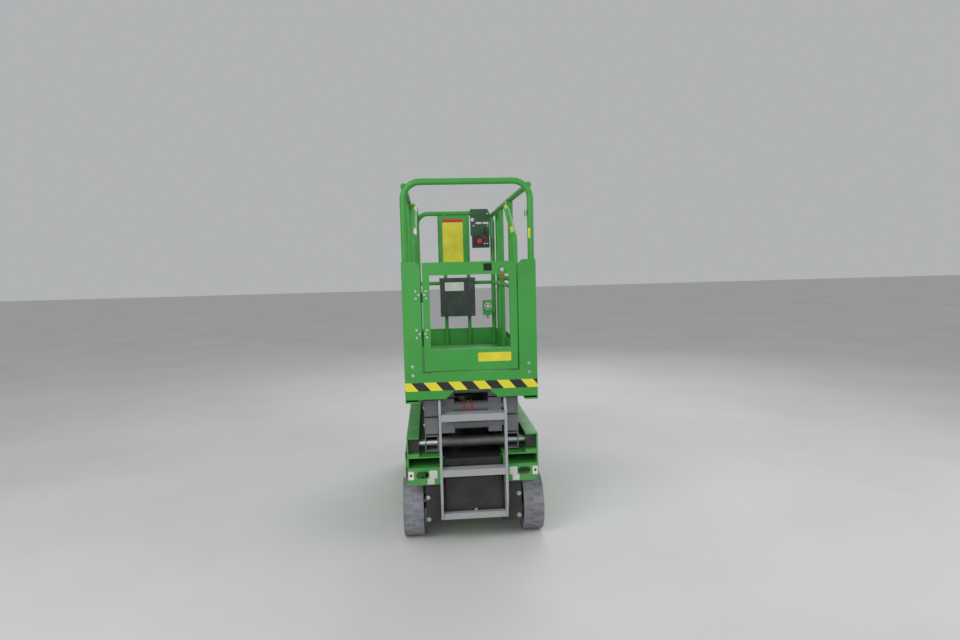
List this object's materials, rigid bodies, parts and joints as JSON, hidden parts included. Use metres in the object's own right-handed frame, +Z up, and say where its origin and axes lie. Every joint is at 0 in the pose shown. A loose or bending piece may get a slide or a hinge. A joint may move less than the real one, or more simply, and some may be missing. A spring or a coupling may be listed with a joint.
{
  "type": "electric slab scissor lift",
  "caption": "Compact battery scissor lift with a stacked arm pack, caged platform with sliding extension, rear gate, entry ladder and steered solid wheels.",
  "frame": {"origin": "on the ground under the middle of the stowed machine", "axes": "+X to the right seen from the ladder end, +Y forward from the ladder end, +Z up"},
  "size_m": [0.81, 1.76, 2.05],
  "materials": {
    "green": "semi-gloss green enamel, worn at the edges",
    "dark_green": "satin dark green",
    "arm_grey": "satin mid grey enamel",
    "ladder_grey": "satin light grey enamel with worn treads",
    "black_steel": "satin black enamel",
    "stripe": "yellow and black diagonal stripes",
    "steel": "machined and zinc plated",
    "chrome": "hard chromed rod",
    "tyre_grey": "solid pale non-marking rubber",
    "rim": "satin off-white enamel",
    "wear_pad": "dark low-friction plastic",
    "black_plastic": "matte black plastic",
    "red_plastic": "glossy red plastic",
    "dark_box": "dark textured plastic"
  },
  "bodies": {
    "chassis": {"side_rail_left": "green", "side_rail_right": "green", "chassis_core": "green", "rear_bumper": "green", "front_bumper": "green", "tail_panel": "black_steel", "tail_trim": "green", "entry_ladder": "ladder_grey", "rear_drive": "black_steel", "front_axle": "black_steel", "steer_cylinder": "black_steel", "tray_hinges": "black_steel"},
    "wheel_rear_left": {"tyre_rear_left": "tyre_grey", "rim_rear_left": "rim"},
    "wheel_rear_right": {"tyre_rear_right": "tyre_grey", "rim_rear_right": "rim"},
    "wheel_front_left": {"tyre_front_left": "tyre_grey", "rim_front_left": "rim"},
    "wheel_front_right": {"tyre_front_right": "tyre_grey", "rim_front_right": "rim"},
    "knuckle_left": {"knuckle_left": "black_steel"},
    "knuckle_right": {"knuckle_right": "black_steel"},
    "steer_rod": {"steer_rod": "chrome"},
    "tray_left": {"tray_left": "green", "battery_block": "dark_box"},
    "tray_right": {"tray_right": "green", "power_unit": "black_steel"},
    "inner_arms_1": {"scissor_inner_1": "arm_grey"},
    "outer_arms_1": {"scissor_outer_1": "arm_grey"},
    "inner_arms_2": {"scissor_inner_2": "arm_grey"},
    "outer_arms_2": {"scissor_outer_2": "arm_grey"},
    "inner_arms_3": {"scissor_inner_3": "arm_grey"},
    "outer_arms_3": {"scissor_outer_3": "arm_grey"},
    "slides_lower": {"slide_blocks_lower": "wear_pad"},
    "slides_upper": {"slide_blocks_upper": "wear_pad"},
    "lift_barrel": {"lift_barrel": "black_steel"},
    "lift_rod": {"lift_rod": "chrome"},
    "platform": {"platform_frame": "green", "deck_plate": "green", "rear_face": "stripe", "rear_sill": "green", "rear_posts": "green", "rear_hoop": "green", "main_rail_left": "green", "main_rail_right": "green", "toe_boards": "green"},
    "extension": {"extension_deck": "green", "extension_front": "green", "extension_rail_left": "green", "extension_rail_right": "green", "instruction_panel": "green", "manual_box": "dark_box", "control_bracket": "dark_green", "control_box": "black_plastic", "outlet_box": "green"},
    "gate": {"gate_frame": "green", "gate_latch": "red_plastic"}
  },
  "joints": [
    {"name": "lift", "type": "hinge", "parent": "chassis", "child": "inner_arms_1", "pos_m": [0, 0.75, 0.566], "axis": [-1, 0, 0], "range_deg": [0, 57]},
    {"name": "outer_1_fold", "type": "hinge", "parent": "inner_arms_1", "child": "outer_arms_1", "pos_m": [0, 0.015, 0.6175], "axis": [-1, 0, 0], "range_deg": [-114, 0]},
    {"name": "outer_2_fold", "type": "hinge", "parent": "inner_arms_1", "child": "outer_arms_2", "pos_m": [0, -0.72, 0.669], "axis": [-1, 0, 0], "range_deg": [-114, 0]},
    {"name": "inner_2_fold", "type": "hinge", "parent": "outer_arms_2", "child": "inner_arms_2", "pos_m": [0, 0.015, 0.7205], "axis": [-1, 0, 0], "range_deg": [0, 114]},
    {"name": "outer_3_fold", "type": "hinge", "parent": "inner_arms_2", "child": "outer_arms_3", "pos_m": [0, -0.72, 0.772], "axis": [-1, 0, 0], "range_deg": [-114, 0]},
    {"name": "inner_3_fold", "type": "hinge", "parent": "outer_arms_3", "child": "inner_arms_3", "pos_m": [0, 0.015, 0.8235], "axis": [-1, 0, 0], "range_deg": [0, 114]},
    {"name": "platform_level", "type": "hinge", "parent": "outer_arms_3", "child": "platform", "pos_m": [0, 0.75, 0.875], "axis": [-1, 0, 0], "range_deg": [0, 57]},
    {"name": "slides_lower_level", "type": "hinge", "parent": "outer_arms_1", "child": "slides_lower", "pos_m": [0, -0.72, 0.566], "axis": [-1, 0, 0], "range_deg": [0, 57]},
    {"name": "slides_upper_level", "type": "hinge", "parent": "inner_arms_3", "child": "slides_upper", "pos_m": [0, -0.72, 0.875], "axis": [-1, 0, 0], "range_deg": [-57, 0]},
    {"name": "cylinder_swing", "type": "hinge", "parent": "chassis", "child": "lift_barrel", "pos_m": [0, 0.5, 0.545], "axis": [-1, 0, 0], "range_deg": [0, 67.8]},
    {"name": "cylinder_stroke", "type": "slide", "parent": "lift_barrel", "child": "lift_rod", "axis": [0, -0.9934, 0.1148], "range_m": [0, 0.1707]},
    {"name": "steer", "type": "hinge", "parent": "chassis", "child": "knuckle_left", "pos_m": [-0.25, 0.665, 0.165], "axis": [0, 0, 1], "range_deg": [-60, 60]},
    {"name": "steer_right", "type": "hinge", "parent": "chassis", "child": "knuckle_right", "pos_m": [0.25, 0.665, 0.165], "axis": [0, 0, 1], "range_deg": [-60, 60]},
    {"name": "steer_rod_shift", "type": "slide", "parent": "chassis", "child": "steer_rod", "axis": [1, 0, 0], "range_m": [-0.0911, 0.0911]},
    {"name": "wheel_rear_left_spin", "type": "hinge", "parent": "chassis", "child": "wheel_rear_left", "pos_m": [-0.347, -0.635, 0.165], "axis": [1, 0, 0], "continuous": true},
    {"name": "wheel_rear_right_spin", "type": "hinge", "parent": "chassis", "child": "wheel_rear_right", "pos_m": [0.347, -0.635, 0.165], "axis": [1, 0, 0], "continuous": true},
    {"name": "wheel_front_left_spin", "type": "hinge", "parent": "knuckle_left", "child": "wheel_front_left", "pos_m": [-0.347, 0.665, 0.165], "axis": [1, 0, 0], "continuous": true},
    {"name": "wheel_front_right_spin", "type": "hinge", "parent": "knuckle_right", "child": "wheel_front_right", "pos_m": [0.347, 0.665, 0.165], "axis": [1, 0, 0], "continuous": true},
    {"name": "tray_left_swing", "type": "hinge", "parent": "chassis", "child": "tray_left", "pos_m": [-0.384, -0.438, 0.27], "axis": [0, 0, 1], "range_deg": [0, 90]},
    {"name": "tray_right_swing", "type": "hinge", "parent": "chassis", "child": "tray_right", "pos_m": [0.384, -0.438, 0.27], "axis": [0, 0, -1], "range_deg": [0, 90]},
    {"name": "extension_slide", "type": "slide", "parent": "platform", "child": "extension", "axis": [0, 1, 0], "range_m": [0, 0.9]},
    {"name": "gate_swing", "type": "hinge", "parent": "platform", "child": "gate", "pos_m": [-0.262, -0.806, 1.3], "axis": [0, 0, 1], "range_deg": [0, 90]}
  ],
  "couplings": [
    {"joint": "outer_1_fold", "follows": "lift", "ratio": -2},
    {"joint": "outer_2_fold", "follows": "lift", "ratio": -2},
    {"joint": "inner_2_fold", "follows": "lift", "ratio": 2},
    {"joint": "outer_3_fold", "follows": "lift", "ratio": -2},
    {"joint": "inner_3_fold", "follows": "lift", "ratio": 2},
    {"joint": "platform_level", "follows": "lift", "ratio": 1},
    {"joint": "slides_lower_level", "follows": "lift", "ratio": 1},
    {"joint": "slides_upper_level", "follows": "lift", "ratio": -1},
    {"joint": "cylinder_swing", "follows": "lift", "ratio": 1.1815},
    {"joint": "cylinder_stroke", "follows": "lift", "m_per_rad": 0.17106},
    {"joint": "steer_right", "follows": "steer", "ratio": 1},
    {"joint": "steer_rod_shift", "follows": "steer", "m_per_rad": 0.086834}
  ]
}
